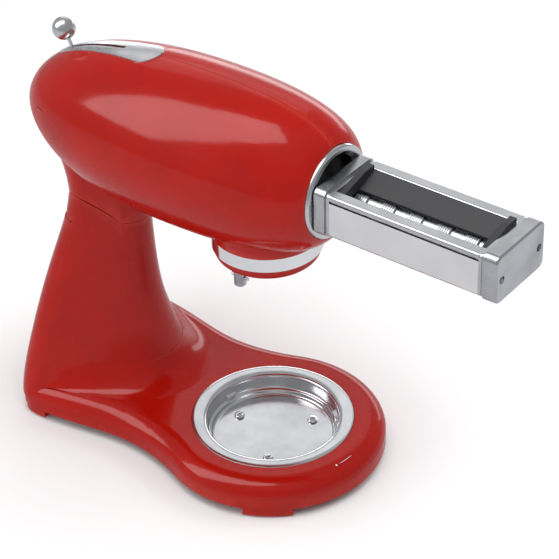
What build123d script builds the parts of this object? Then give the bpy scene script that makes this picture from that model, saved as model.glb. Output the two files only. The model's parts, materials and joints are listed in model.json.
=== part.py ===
"""Tilt-head stand mixer carrying a pasta cutter on its front port.

Millimetres, +Z up, the attachment points along +X. The bowl axis is the line x = 0, y = 0
of the working frame; every node is moved by ORIGIN_X on export, so that the origin of the
written parts is under the middle of the whole machine.
"""
from build123d import *

from math import acos, atan2, cos, degrees, hypot, pi, radians, sin, sqrt
import os

# ---- driving dimensions -------------------------------------------------------------------
HEAD_REAR = 272.0            # bowl axis to the back of the head
ATTACH_FRONT = 270.0         # bowl axis to the far end of the attachment
ORIGIN_X = (HEAD_REAR - ATTACH_FRONT) / 2

WALL = 4.5                   # casting wall
SEAM = 0.5                   # visible gap between separate outer pieces
RUN = 0.06                   # radial clearance of a running fit

# base and column
BASE_R = 110.5               # round front of the base
BASE_BOTTOM, BASE_TOP = 10.0, 37.0
SHOULDER_WIDE, SHOULDER_HIGH = 20.0, 15.0    # domed edge of its top
SHOULDER_LEVELS = (22.0, 25.5, 29.0, 32.0, 34.4, 36.0, 36.8, 37.0)
BASE_HOLLOW = ((5.5, 23.0), (9.0, 28.5), (14.0, 32.5))    # inset and ceiling of its steps
LUG_TOP = 23.0               # the feet end below the domed edge
LUG_ANGLES = (56.0, -56.0)   # the two front feet, about the bowl axis
LUG_RADIUS = 90.0
REAR_FOOT_X, REAR_FOOT_Y = -230.0, 84.0
FOOT_R, FOOT_DROP, FOOT_H = 12.0, 2.0, 6.0

SEAT_R, SEAT_RIM, SEAT_WALL = 79.7, 14.7, 1.5
SEAT_TOP, SEAT_FLOOR = 38.0, 17.0
SEAT_SCREW_CIRCLE = 42.0
SEAT_SCREW_ANGLES = (180.0, 60.0, -60.0)

# tilt joint
PIN_X, PIN_Z, PIN_R, PIN_HALF = -206.0, 224.0, 5.0, 34.0
KNUCKLE_R = 14.0
TONGUE_HALF = 19.5
LATCH_Z, BUTTON_R = 190.0, 10.0
SHOULDER_Z, REST_Z = 208.0, 212.0
PLATE_BACK, PLATE_FRONT = (-40.0, 7.5), (61.0, 17.0)     # along the slot, half width
RING_INNER, RING_BEVEL = 34.5, 4.4
LATCH_POCKET = (-179.0, -150.4, 6.2)         # back, front and half width
LATCH_BORE, BUTTON_SEAT_X = 5.5, -219.5
CORD_BORE, CORD_Z = 7.0, 60.0
# the parting line of neck and column, from the top of the knuckle down to the rest
PARTING_WAVE = ((-206.0, 238.0), (-198.5, 236.6), (-190.0, 232.2), (-176.0, 223.6),
                (-165.7, 215.9), (-154.0, 212.0))

# head
DRIVE_Z = 325.0              # drive line: motor, power take-off and cutter
HEAD_FRONT, HEAD_AXIS_Z, HEAD_SLOPE = 76.5, 326.0, 1.3
HEAD_GIRTH, HEAD_WIDEST = 80.0, -75.0
COVER_SEAM_REAR, COVER_SEAM_FRONT = (-128.0, 397.0), (80.0, 350.0)
RING_R, RING_BORE, RING_FRONT = 44.7, 38.0, 79.8

# planetary hub
HUB_R = 52.4
SKIRT_BOTTOM, BAND_BOTTOM, HUB_BOTTOM = 257.5, 243.7, 232.0
BEATER_OFFSET, BEATER_ANGLE, BEATER_R, BEATER_BOTTOM = 30.0, -114.5, 5.75, 205.0
RING_TEETH, PLANET_TEETH, HUB_MODULE = 52, 12, 1.5

# pasta cutter
FLANGE_X, FLANGE_DEPTH = 80.5, 12.0
CUTTER_X0, CUTTER_X1, END_CAP_X = 94.0, 253.6, 256.0
SIDE_PLATE = 3.0
BODY_HALF, BODY_Z0, GROOVE_Z, BODY_Z1 = 36.5, 304.0, 340.0, 347.0
CAP_HALF, CAP_Z0, CAP_Z1 = 38.0, 302.0, 349.5
CUTTER_PITCH, CUTTER_TEETH, CUTTER_MODULE = 20.0, 16, 1.25
LANES, LANE, DISC_GAP = 10, 14.4, 0.4
DISC_R, CORE_R, JOURNAL_R = 10.6, 8.9, 4.0
SPIGOT_R, TANG = 15.0, 8.0
CAP_SCREW_Y, RAIL_WIDTH = 29.5, 13.0

# speed lever
SLOT_START, SLOT_END = (-227.0, 377.0), (-164.0, 394.5)
LEVER_LEAN, LEVER_REACH, KNOB_R = 26.0, 17.5, 11.3


# ---- helpers ------------------------------------------------------------------------------
def post(radius, z0, z1, x=0.0, y=0.0):
    """A round bar standing along Z."""
    return Pos(x, y, (z0 + z1) / 2) * Cylinder(radius, z1 - z0)


def rod(radius, x0, x1, y=0.0, z=DRIVE_Z):
    """A round bar lying along X."""
    return Pos((x0 + x1) / 2, y, z) * Rot(0, 90, 0) * Cylinder(radius, x1 - x0)


def cross_rod(radius, y0, y1, x, z):
    """A round bar lying along Y."""
    return Pos(x, (y0 + y1) / 2, z) * Rot(90, 0, 0) * Cylinder(radius, y1 - y0)


def block(x0, x1, y0, y1, z0, z1):
    return Pos((x0 + x1) / 2, (y0 + y1) / 2, (z0 + z1) / 2) * Box(x1 - x0, y1 - y0, z1 - z0)


def slab_x(outline, x0, x1):
    """An outline drawn as (y, z), extruded along X."""
    plane = Plane(origin=(x0, 0, 0), x_dir=(0, 1, 0), z_dir=(1, 0, 0))
    return extrude(plane * outline, x1 - x0, dir=(1, 0, 0))


def slab_y(outline, half):
    """An outline drawn as (x, z), extruded both ways along Y."""
    plane = Plane(origin=(0, 0, 0), x_dir=(1, 0, 0), z_dir=(0, -1, 0))
    return extrude(plane * outline, half, both=True)


def rounded(y0, y1, z0, z1, radius):
    return Pos((y0 + y1) / 2, (z0 + z1) / 2) * RectangleRounded(y1 - y0, z1 - z0, radius)


def on_circle(radius, angle):
    return radius * cos(radians(angle)), radius * sin(radians(angle))


def gear_outline(teeth, module, phase=0.0, inner=False):
    """Straight-sided teeth; inner=True gives the outline of a ring gear's opening."""
    pitch = teeth * module / 2
    tip, root = (pitch + 0.75 * module, pitch - 1.15 * module)
    wide, narrow = 0.36, 0.17
    if inner:
        tip, root = pitch + 1.15 * module, pitch - 0.7 * module
        wide, narrow = 0.64, 0.46
    points = []
    for tooth in range(teeth):
        middle = phase + 360 * tooth / teeth
        for radius, part in ((root, -wide), (tip, -narrow), (tip, narrow), (root, wide)):
            points.append(on_circle(radius, middle + part * 180 / teeth))
    return Polygon(*points, align=None)


def egg(z, rear, half, corner, front, nose):
    """Column section: square rear with round corners, tapering to a round nose."""
    cx, cy = rear + corner, half - corner
    nx = front - nose
    dx, dy = nx - cx, -cy
    lean = atan2(dy, dx) + acos((corner - nose) / hypot(dx, dy))
    ux, uy = cos(lean), sin(lean)
    side_rear = (cx + corner * ux, cy + corner * uy)
    side_front = (nx + nose * ux, nose * uy)
    mid = (lean + pi) / 2
    corner_mid = (cx + corner * cos(mid), cy + corner * sin(mid))
    low = lambda p: (p[0], -p[1])
    edges = Curve() + [
        Line((rear, -cy), (rear, cy)),
        ThreePointArc((rear, cy), corner_mid, side_rear),
        Line(side_rear, side_front),
        ThreePointArc(side_front, (front, 0), low(side_front)),
        Line(low(side_front), low(side_rear)),
        ThreePointArc(low(side_rear), low(corner_mid), (rear, -cy)),
    ]
    return Pos(0, 0, z) * make_face(edges)


def column_loft(stations, inset=0.0):
    faces = []
    for z, rear, half, corner, front, nose in stations:
        faces.append(egg(z, rear + inset, half - inset, max(corner - inset, 4.0),
                         front - inset, nose - inset))
    return loft(faces)


COLUMN = (                   # z, rear, half width, corner, front, nose radius
    (20.0, -249.0, 102.0, 20.0, -112.0, 62.0),
    (48.0, -248.0, 97.0, 20.0, -120.0, 54.0),
    (95.0, -244.0, 82.0, 20.0, -136.0, 37.0),
    (143.0, -238.0, 65.0, 20.0, -145.0, 28.0),
    (190.0, -229.0, 49.0, 20.0, -148.0, 25.0),
    (245.0, -222.0, 39.0, 20.0, -148.0, 25.0),
)
FOOT_SWEEP_R = 26.0          # the column's foot sweeps out onto the base on this radius
FOOT_SWEEP_RISE = (-0.4, 0.4, 2.0, 5.0, 9.0, 14.0, 20.0, 26.0)
NECK = (
    (200.0, -222.0, 39.5, 20.0, -148.0, 25.0),
    (240.0, -222.0, 39.0, 20.0, -148.0, 25.0),
    (270.0, -225.0, 43.0, 22.0, -144.0, 28.0),
    (300.0, -231.0, 50.0, 24.0, -136.0, 34.0),
    (335.0, -240.0, 58.0, 28.0, -124.0, 42.0),
)


def base_outline(inset=0.0):
    """Round front, waist, and square rear with round corners."""
    r = BASE_R - inset
    angle = 112.0
    start = on_circle(r, angle)
    end = (start[0], -start[1])
    rear, half = -250.0 + inset, 103.0 - inset
    along = (cos(radians(angle + 90)), sin(radians(angle + 90)))
    corner = 26.0 - 0.5 * inset
    side = (rear + 40.0, half - 1.5)
    waist_side = Spline(start, (-112.0, 88.0 - inset), side,
                        tangents=(along, (-1.0, 0.1)))
    turn = Spline(side, (rear + corner * 0.29, half - corner * 0.29), (rear, half - corner - 6),
                  tangents=((-1.0, 0.1), (0, -1)))
    back = Line((rear, half - corner - 6), (rear, -(half - corner - 6)))
    front = ThreePointArc(end, (r, 0), start)
    return make_face(Curve() + [front, waist_side, turn, back,
                                mirror(waist_side, Plane.XZ), mirror(turn, Plane.XZ)])


def head_profile(inset=0.0):
    """Half profile of the head about its own axis, x along the axis."""
    rear, wide, front = -HEAD_REAR + inset, HEAD_GIRTH - inset, HEAD_FRONT - inset
    mouth = RING_R + 0.8 - inset
    back = Bezier((rear, 0), (rear, 48), (-200, wide), (HEAD_WIDEST, wide))
    nose = Bezier((HEAD_WIDEST, wide), (0, wide), (62 - inset, 72 - inset), (front, mouth))
    return make_face(Curve() + [back, nose, Line((front, mouth), (front, 0)),
                                Line((front, 0), (rear, 0))])


def head_solid(inset=0.0):
    turned = revolve(Plane.XZ * head_profile(inset), Axis.X)
    slope = Pos(HEAD_FRONT, 0, HEAD_AXIS_Z) * Rot(0, -HEAD_SLOPE, 0) * Pos(-HEAD_FRONT, 0, 0)
    return slope * turned


def underside_cutter(lift=0.0):
    """What lies below the head: level over the hub, rising towards the back."""
    stations = [(-300, 365), (-240, 320), (-190, 290), (-130, 272), (-60, 266), (60, 269),
                (100, 275)]
    points = [(x, z + lift) for x, z in stations]
    low = 150
    edges = [Spline(*points), Line(points[-1], (points[-1][0], low)),
             Line((points[-1][0], low), (points[0][0], low)),
             Line((points[0][0], low), points[0])]
    return slab_y(make_face(Curve() + edges), 120)


def seam_line_z(x):
    (x0, z0), (x1, z1) = COVER_SEAM_REAR, COVER_SEAM_FRONT
    return z0 + (z1 - z0) * (x - x0) / (x1 - x0)


def cover_region(gap=0.0):
    """The far half of the head's top, which lifts off as a cover; it meets the rest on the spine."""
    x0, x1 = COVER_SEAM_REAR[0], HEAD_FRONT + 4
    outline = Polygon((x0 + gap, seam_line_z(x0) + gap), (x1, seam_line_z(x1) + gap),
                      (x1, 460), (x0 + gap, 460), align=None)
    return slab_y(outline, 120) & block(-300, 120, gap, 140, 300, 470)


def tilt_profile(gap=0.0):
    """Side outline of everything that belongs to the neck, above the parting line."""
    r = KNUCKLE_R + gap
    top = [(-300, PIN_Z + gap), (PIN_X, PIN_Z + gap), (PIN_X, REST_Z + gap), (-100, REST_Z + gap),
           (-100, 420), (-300, 420)]
    region = Polygon(*top, align=None)
    wave = [(x, z + gap) for x, z in PARTING_WAVE]
    low = REST_Z - 10
    ramp = make_face(Curve() + [
        Spline(*wave, tangents=((1, 0), (1, 0))), Line(wave[-1], (wave[-1][0], low)),
        Line((wave[-1][0], low), (wave[0][0], low)), Line((wave[0][0], low), wave[0])])
    knuckle = Pos(PIN_X, PIN_Z) * Circle(r)
    return region - ramp - knuckle


nodes = {}


def keep(name, *solids):
    """Collect the solids of one node."""
    nodes[name] = Compound(children=[s for shape in solids for s in shape.solids()])


# ---- base ---------------------------------------------------------------------------------
def shoulder_inset(z):
    """How far the elliptical shoulder of the base has drawn in at this height."""
    rise = (z - BASE_TOP + SHOULDER_HIGH) / SHOULDER_HIGH
    return SHOULDER_WIDE * (1 - sqrt(max(0.0, 1 - rise * rise)))


def column_station(z):
    """The column's own section at this height, between its listed ones."""
    for low, high in zip(COLUMN, COLUMN[1:]):
        if low[0] <= z <= high[0]:
            share = (z - low[0]) / (high[0] - low[0])
            return tuple(a + (b - a) * share for a, b in zip(low, high))


def foot_sweep():
    stations = []
    for rise in FOOT_SWEEP_RISE:
        z, rear, half, corner, front, nose = column_station(BASE_TOP + rise)
        left = FOOT_SWEEP_R - max(rise, 0.0)
        out = FOOT_SWEEP_R - sqrt(FOOT_SWEEP_R ** 2 - left ** 2)
        stations.append((z, rear + 0.3, half - 0.3, corner, front + out, nose + 0.7 * out))
    return column_loft(stations)


def base_block():
    sections = [Pos(0, 0, z) * base_outline(shoulder_inset(z)) for z in SHOULDER_LEVELS]
    start = BASE_TOP - SHOULDER_HIGH
    wall = extrude(Pos(0, 0, BASE_BOTTOM) * base_outline(), start - BASE_BOTTOM)
    return wall + loft(sections)


def make_base():
    outer = base_block()
    column = column_loft(COLUMN) - slab_y(tilt_profile(0.0), 150)
    outer += foot_sweep()
    column -= block(-260, PIN_X, -150, 150, SHOULDER_Z, 260) - cross_rod(
        KNUCKLE_R, -60, 60, PIN_X, PIN_Z)
    hollow = Part() + [extrude(Pos(0, 0, BASE_BOTTOM - 1) * base_outline(inset), top - BASE_BOTTOM)
                       for inset, top in BASE_HOLLOW]
    core = column_loft([s for s in COLUMN if s[0] < 200], WALL + 1)
    body = outer + (column & block(-300, 0, -150, 150, BASE_BOTTOM + 4, 300))
    body -= hollow + core
    # pocket walls that carry the bowl seat
    body += post(SEAT_R + 3, BASE_BOTTOM + 1, BASE_TOP - 1)
    body += foot_lugs()
    body -= post(SEAT_R, SEAT_TOP - 2.5, SEAT_TOP + 5)
    body -= post(SEAT_R - SEAT_RIM + 0.2, SEAT_FLOOR - 1.5, SEAT_TOP + 5)
    for angle in SEAT_SCREW_ANGLES:
        body -= post(2.6, 5, 20, *on_circle(SEAT_SCREW_CIRCLE, angle))
    # slot for the tongue and for the latch
    body -= block(-260, PIN_X + 20, -TONGUE_HALF - 0.5, TONGUE_HALF + 0.5, SHOULDER_Z, 260)
    body -= block(LATCH_POCKET[0], LATCH_POCKET[1], -LATCH_POCKET[2], LATCH_POCKET[2], 150, 260)
    body -= rod(LATCH_BORE, -262, -160, 0, LATCH_Z)
    body -= rod(BUTTON_R + 0.3, -262, BUTTON_SEAT_X, 0, LATCH_Z)
    body -= cross_rod(PIN_R, -PIN_HALF, PIN_HALF, PIN_X, PIN_Z)
    for x, y in foot_centres():
        body -= post(FOOT_R, FOOT_DROP - 1, FOOT_H, x, y)
    body -= rod(CORD_BORE, -262, -240, 0, CORD_Z)
    keep("base_casting", body)


def foot_lugs():
    """Cast feet, flush with the side wall and reaching below its edge."""
    plan = extrude(Pos(0, 0, FOOT_DROP) * base_outline(1.2), LUG_TOP - FOOT_DROP)
    wanted = block(-260, -212, REAR_FOOT_Y - 19, 110, 0, 40)
    wanted += block(-260, -212, -110, -(REAR_FOOT_Y - 19), 0, 40)
    for angle in LUG_ANGLES:
        wanted += Rot(0, 0, angle) * block(LUG_RADIUS - 16, 130, -24, 24, 0, 40)
    return plan & wanted


def foot_centres():
    front = [on_circle(LUG_RADIUS, angle) for angle in LUG_ANGLES]
    return front + [(REAR_FOOT_X, REAR_FOOT_Y), (REAR_FOOT_X, -REAR_FOOT_Y)]


def make_base_fittings():
    feet = []
    for x, y in foot_centres():
        foot = post(FOOT_R, 0, FOOT_H, x, y)
        feet.append(fillet(foot.faces().sort_by(Axis.Z)[0].edges(), 1.5))
    keep("rubber_feet", *feet)

    floor_r = SEAT_R - SEAT_RIM
    seat = post(SEAT_R, SEAT_TOP - 2.5, SEAT_TOP) + post(floor_r, SEAT_FLOOR - 1.5, SEAT_TOP - 1)
    seat -= post(floor_r - SEAT_WALL, SEAT_FLOOR + 5, SEAT_TOP + 1)
    seat -= post(floor_r - SEAT_WALL - 3, SEAT_FLOOR, SEAT_TOP)
    for angle in (169, 49, -71):
        x, y = on_circle(floor_r - SEAT_WALL, angle)
        lug = Pos(x, y, 29.5) * Rot(0, 0, angle) * Box(7, 16, 3)
        seat += lug & post(floor_r, 26, 34)
    for angle in SEAT_SCREW_ANGLES:
        seat -= post(2.6, 10, 20, *on_circle(SEAT_SCREW_CIRCLE, angle))
    keep("bowl_seat", seat)

    screws = []
    for angle in SEAT_SCREW_ANGLES:
        x, y = on_circle(SEAT_SCREW_CIRCLE, angle)
        head = fillet(post(4.6, SEAT_FLOOR, SEAT_FLOOR + 3, x, y).edges().sort_by(Axis.Z)[-1], 1.6)
        cross = Pos(x, y, SEAT_FLOOR + 3) * (Box(5, 1.1, 3) + Box(1.1, 5, 3))
        screws.append(head + post(2.5, SEAT_FLOOR - 5, SEAT_FLOOR, x, y) - cross)
    keep("bowl_seat_screws", *screws)

    keep("hinge_pin", cross_rod(PIN_R, -PIN_HALF, PIN_HALF, PIN_X, PIN_Z))
    gland = rod(7.0, -247, -241, 0, 60) + rod(9.5, -252, -249.5, 0, 60)
    gland = gland + rod(7.0, -250, -240, 0, 60) - rod(4.0, -260, -230, 0, 60)
    keep("cord_gland", gland)
    sleeve = rod(5.5, -219, -209, 0, LATCH_Z) - rod(4.0 + RUN, -240, -200, 0, LATCH_Z)
    keep("latch_guide", sleeve)


def make_button():
    cap = rod(BUTTON_R, -237, -226, 0, LATCH_Z)
    cap = fillet(cap.faces().sort_by(Axis.X)[0].edges(), 2.0)
    keep("release_button", cap)
    keep("latch_rod", rod(4.0, -226, -180.5, 0, LATCH_Z))


# ---- head ---------------------------------------------------------------------------------
def make_head():
    outer = head_solid() - underside_cutter()
    inner = head_solid(WALL) - underside_cutter(WALL)
    neck = column_loft(NECK) & slab_y(tilt_profile(SEAM), 150)
    tongue = block(PIN_X - 11, PIN_X + 20, -TONGUE_HALF, TONGUE_HALF, PIN_Z - 1, 262)
    tongue += cross_rod(KNUCKLE_R - 1, -TONGUE_HALF, TONGUE_HALF, PIN_X, PIN_Z)
    shell = outer + neck + tongue - inner
    skirt = loft([Pos(0, 0, SKIRT_BOTTOM) * Circle(HUB_R), Pos(0, 0, 284) * Circle(HUB_R + 6)])
    shell += skirt - inner
    shell -= post(HUB_R - WALL, 240, 282)
    shell -= rod(RING_R + 0.2, RING_FRONT - 6.0, 90, 0, HEAD_AXIS_Z)
    shell -= rod(RING_BORE, 50, 90, 0, HEAD_AXIS_Z)
    shell -= cross_rod(PIN_R + RUN, -50, 50, PIN_X, PIN_Z)
    shell -= catch_plate()
    shell -= cover_region()
    shell -= slot_cut(6.0)
    keep("head_casting", shell)
    keep("top_cover", (head_solid() - head_solid(WALL)) & cover_region(SEAM)
         - rod(RING_R + 0.3, RING_FRONT - 6.0, 90, 0, HEAD_AXIS_Z)
         - rod(RING_BORE, 50, 90, 0, HEAD_AXIS_Z))
    plate = (head_solid(-1.5) - head_solid()) & plate_region()
    keep("speed_plate", plate - slot_cut(4.0))
    keep("latch_catch", catch_plate())


def catch_plate():
    return block(-171, -165, -5, 5, LATCH_Z - 4, 222)


SLOT_LENGTH = hypot(SLOT_END[0] - SLOT_START[0], SLOT_END[1] - SLOT_START[1])
SLOT_TILT = degrees(atan2(SLOT_END[1] - SLOT_START[1], SLOT_END[0] - SLOT_START[0]))
SLOT_MIDDLE = Pos((SLOT_START[0] + SLOT_END[0]) / 2, 0, (SLOT_START[1] + SLOT_END[1]) / 2)
ON_SLOT = SLOT_MIDDLE * Rot(0, -SLOT_TILT, 0)


def slot_cut(width):
    return ON_SLOT * Pos(0, 0, -4) * extrude(SlotOverall(SLOT_LENGTH + width + 5, width), 30,
                                             both=True)


def plate_region():
    """Outline of the speed plate in the slot's own plane: narrow at the back, round in front."""
    (back, narrow), (front, wide) = PLATE_BACK, PLATE_FRONT
    outline = make_face(Polyline((back, narrow), (front, wide), (front, -wide), (back, -narrow),
                                 close=True))
    outline = outline + Pos(front, 0) * Circle(wide + 0.1) + Pos(back, 0) * Circle(narrow + 0.1)
    return ON_SLOT * extrude(outline, 20, both=True)


def make_head_trim():
    ring = rod(RING_R, RING_FRONT - 5.8, RING_FRONT, 0, HEAD_AXIS_Z)
    ring = fillet(ring.faces().sort_by(Axis.X)[-1].edges(), 2.8)
    ring -= rod(RING_INNER, 60, 90, 0, HEAD_AXIS_Z)
    mouth = ring.faces().sort_by(Axis.X)[-1].edges().sort_by(SortBy.LENGTH)[0]
    keep("port_ring", chamfer(mouth, RING_BEVEL))
    socket = rod(RING_BORE - 0.1, 50, RING_FRONT - 5.9, 0, HEAD_AXIS_Z)
    socket -= rod(RING_BORE - 2, 66, 80, 0, HEAD_AXIS_Z)
    keep("port_socket", socket - rod(SPIGOT_R + RUN, 40, 90))
    band = post(HUB_R, BAND_BOTTOM, SKIRT_BOTTOM - 0.1) - post(HUB_R - 1.6, 240, 260)
    keep("hub_band", band)
    ring_blank = extrude(Pos(0, 0, 259) * Circle(HUB_R - WALL - 0.1), 9)
    teeth = extrude(Pos(0, 0, 258) * gear_outline(RING_TEETH, HUB_MODULE,
                                                  BEATER_ANGLE, True), 12)
    keep("ring_gear", ring_blank - teeth)
    carrier_wall = post(HUB_R - WALL - 0.1, 268, 274) - post(17, 260, 280)
    keep("gearbox_floor", carrier_wall)


def make_planetary():
    cap = post(HUB_R - 2.4, HUB_BOTTOM, BAND_BOTTOM - 0.6)
    cap = fillet(cap.faces().sort_by(Axis.Z)[0].edges(), 7.0)
    x, y = on_circle(BEATER_OFFSET, BEATER_ANGLE)
    bore = post(BEATER_R + 0.5 + RUN, 225, 275, x, y)
    keep("hub_cap", cap - bore - post(7, 225, 250))
    keep("planet_carrier", post(HUB_R - 2.4, BAND_BOTTOM - 0.6, 257.5) - bore - post(7, 225, 260))
    keep("main_shaft", post(7, 236, 309))
    keep("crown_wheel", post(13, 280, 298) + post(30, 298, 309) - post(7, 270, 320))

    shaft = post(BEATER_R, BEATER_BOTTOM, HUB_BOTTOM, x, y)
    shaft = chamfer(shaft.faces().sort_by(Axis.Z)[0].edges(), 1.0)
    shaft += post(BEATER_R + 0.5, HUB_BOTTOM, 267.5, x, y)
    hole = Pos(x, y, BEATER_BOTTOM + 9) * Rot(0, 90, BEATER_ANGLE) * Cylinder(1.5, 60)
    gear = extrude(Pos(x, y, 259) * gear_at(PLANET_TEETH, HUB_MODULE, BEATER_ANGLE), 8)
    keep("beater_shaft", shaft - hole)
    keep("planet_gear", gear - post(BEATER_R + 0.5, 250, 270, x, y))
    pin = Pos(x, y, BEATER_BOTTOM + 9) * Rot(0, 90, BEATER_ANGLE) * Cylinder(1.5, 19)
    keep("drive_pin", pin)


def gear_at(teeth, module, phase):
    return gear_outline(teeth, module, phase)


def make_motor():
    keep("motor_shaft", rod(5, -188, -86))
    keep("armature", rod(23.4, -160, -102) + rod(12, -184, -168) + rod(9, -170, -158)
         - rod(5, -190, -86))
    keep("cooling_fan", rod(32, -98, -92) - rod(5, -100, -86))
    stator = rod(38, -164, -100) - rod(24, -170, -90)
    keep("stator", stator)
    keep("rear_bracket", rod(28, -193, -187) - rod(9, -200, -180))
    gearbox = rod(38, -89, -46) - rod(9, -95, -84) - rod(32, -84, -50) - rod(8, -60, -40)
    keep("reduction_gearbox", gearbox)
    keep("drive_bearings", rod(9, -193, -187) - rod(5 + RUN, -200, -180),
         rod(9, -89, -84.2) - rod(5 + RUN, -100, -80),
         post(17, 268, 274) - post(7 + RUN, 260, 280),
         rod(16, 40, 49.8) - rod(8 + RUN, 30, 60))
    brushes = []
    for side in (1, -1):
        brushes.append(block(-181, -171, min(side * 12.4, side * 26), max(side * 12.4, side * 26),
                             DRIVE_Z - 4, DRIVE_Z + 4))
    keep("carbon_brushes", *brushes)
    keep("output_shaft", rod(8 - RUN, -72, -13) + rod(27, -72, -62))
    keep("bevel_pinion", pinion(-26, -13, 9, 14, 8 - RUN))
    keep("pto_shaft", rod(8, 13, 49.5) - pto_socket())
    keep("pto_pinion", pinion(13, 26, 14, 9, 8))
    legs = block(31.5, 39.5, -36, 36, 285, 352) - rod(16.5, 20, 50)
    keep("gear_frame", legs)
    keep("control_board", block(-240, -198, -24, 24, 328, 330),
         rod(7, -236, -212, -12, 337.2), block(-222, -206, 4, 20, 330.2, 340))


def pinion(x0, x1, r0, r1, bore):
    """A plain bevel blank on the drive line, with radius r0 at x0 and r1 at x1."""
    plane = lambda x: Plane(origin=(x, 0, DRIVE_Z), x_dir=(0, 1, 0), z_dir=(1, 0, 0))
    cone = loft([plane(x0) * Circle(r0), plane(x1) * Circle(r1)])
    return cone - rod(bore, x0 - 5, x1 + 5)


def pto_socket():
    half = TANG / 2 + 0.2
    return block(30, 60, -half, half, DRIVE_Z - half, DRIVE_Z + half)


def make_speed_lever():
    stem_tilt = Rot(0, -LEVER_LEAN, 0)
    foot = Pos(SLOT_START[0] - 1.0, 0, SLOT_START[1])
    keep("lever_stem", foot * stem_tilt * Pos(0, 0, 1) * Cylinder(1.9, 26))
    ball = foot * stem_tilt * Pos(0, 0, LEVER_REACH) * Sphere(KNOB_R)
    keep("lever_knob", ball - foot * stem_tilt * Pos(0, 0, 1) * Cylinder(1.9, 26))
    carriage = ON_SLOT * Pos(-SLOT_LENGTH / 2 + 4, 0, -16.5) * Box(14, 12, 6)
    keep("lever_carriage", carriage - foot * stem_tilt * Pos(0, 0, 1) * Cylinder(1.9, 26))
    rail = ON_SLOT * Pos(0, 0, -22.5) * Box(SLOT_LENGTH + 24, 16, 5)
    keep("speed_rail", rail)


# ---- pasta cutter -------------------------------------------------------------------------
def body_section(x0, x1):
    return slab_x(rounded(-BODY_HALF, BODY_HALF, BODY_Z0, BODY_Z1, 4), x0, x1)


def cap_section(x0, x1, inset=0.0):
    return slab_x(rounded(-CAP_HALF + inset, CAP_HALF - inset, CAP_Z0 + inset, CAP_Z1 - inset,
                          7 - inset), x0, x1)


def make_cutter_caps():
    x1 = FLANGE_X + FLANGE_DEPTH
    cap = cap_section(FLANGE_X, x1)
    cap = fillet(cap.faces().sort_by(Axis.X)[0].edges(), 1.5)
    cap = cap + cap_section(x1 - 1, CUTTER_X0, 2.0) - cap_section(FLANGE_X + 2.5, CUTTER_X0, 3.5)
    keep("mount_flange", cap + rod(SPIGOT_R, 50, FLANGE_X + 2) - rod(10.5, 49, FLANGE_X + 3))

    outer = cap_section(END_CAP_X, ATTACH_FRONT)
    outer = fillet(outer.faces().sort_by(Axis.X)[-1].edges(), 2.0)
    outer = outer + cap_section(CUTTER_X1, END_CAP_X + 1, 2.0)
    outer -= cap_section(CUTTER_X1, ATTACH_FRONT - 3, 4.0)
    screws = []
    for side in (1, -1):
        y = side * CAP_SCREW_Y
        outer -= rod(3.6, ATTACH_FRONT - 2.0, ATTACH_FRONT + 1, y)
        outer -= rod(2.0, CUTTER_X1 - 1, ATTACH_FRONT - 1, y)
        screw = rod(3.5, ATTACH_FRONT - 2.0, ATTACH_FRONT - 0.3, y)
        screw += rod(1.95, CUTTER_X1 + 0.4, ATTACH_FRONT - 2.0, y)
        screws.append(screw - block(ATTACH_FRONT - 1.2, ATTACH_FRONT, y - 3.6, y + 3.6,
                                    DRIVE_Z - 0.6, DRIVE_Z + 0.6))
    keep("end_cap", outer)
    keep("end_cap_screws", *screws)


def make_cutter_frame():
    plates = {"near_side_plate": CUTTER_X0, "far_side_plate": CUTTER_X1 - SIDE_PLATE}
    bushes = []
    for name, x in plates.items():
        plate = body_section(x, x + SIDE_PLATE)
        for y in (0.0, -CUTTER_PITCH):
            plate -= rod(JOURNAL_R + 2, 80, 260, y)
            bush = rod(JOURNAL_R + 2, x, x + SIDE_PLATE, y)
            bushes.append(bush - rod(JOURNAL_R + RUN, 80, 260, y))
        keep(name, plate)
    keep("roller_bushes", *bushes)

    x0, x1 = CUTTER_X0 + SIDE_PLATE, CUTTER_X1 - SIDE_PLATE
    trough = body_section(x0, x1) & block(x0, x1, -40, 40, 300, GROOVE_Z)
    trough -= slab_x(rounded(-BODY_HALF + 1.6, BODY_HALF - 1.6, BODY_Z0 + 1.6, 370, 1.2), x0, x1)
    keep("cutter_housing", trough - block(x0 + 3, x1 - 3, -24, 6, 300, 310))
    for name, side in (("front_rail", -1), ("rear_rail", 1)):
        y0, y1 = sorted((side * BODY_HALF, side * (BODY_HALF - RAIL_WIDTH)))
        keep(name, slab_x(rounded(y0, y1, GROOVE_Z + 0.8, BODY_Z1, 2.4), x0, x1))

    low, high = GROOVE_Z - 1.0, BODY_Z1 + 0.5
    guide = Polygon((22.9, high), (22.9, high - 2), (-1, low - 2), (-1, low), align=None)
    keep("feed_guide", slab_x(guide, x0 + 7, x1 - 7))
    cheek = Polygon((-23, low + 5), (-23, low - 1.5), (22.9, low - 1.5), (22.9, high + 4),
                    (10, high + 4), align=None)
    keep("guide_cheeks", slab_x(cheek, x0, x0 + 6.5), slab_x(cheek, x1 - 6.5, x1))
    keep("stripper_front", strip_comb(-CUTTER_PITCH, -1, 1))
    keep("stripper_rear", strip_comb(0.0, 1, 0))


def lane_x(lane):
    middle = (CUTTER_X0 + CUTTER_X1) / 2
    return middle + (lane - (LANES - 1) / 2) * LANE


def strip_comb(y, side, disc_lanes):
    """A bar below one roller, with a finger reaching into each of its grooves."""
    near, far = sorted((y + side * 9.5, y + side * 12.5))
    comb = block(CUTTER_X0 + SIDE_PLATE, CUTTER_X1 - SIDE_PLATE, near, far, 305.6, 312)
    low, high = sorted((y + side * 2, y + side * 10))
    for lane in range(LANES):
        if lane % 2 != disc_lanes:
            x = lane_x(lane)
            comb += block(x - 6, x + 6, low, high, 309, 318) - rod(CORE_R + 0.6, 90, 260, y)
    return comb


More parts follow.
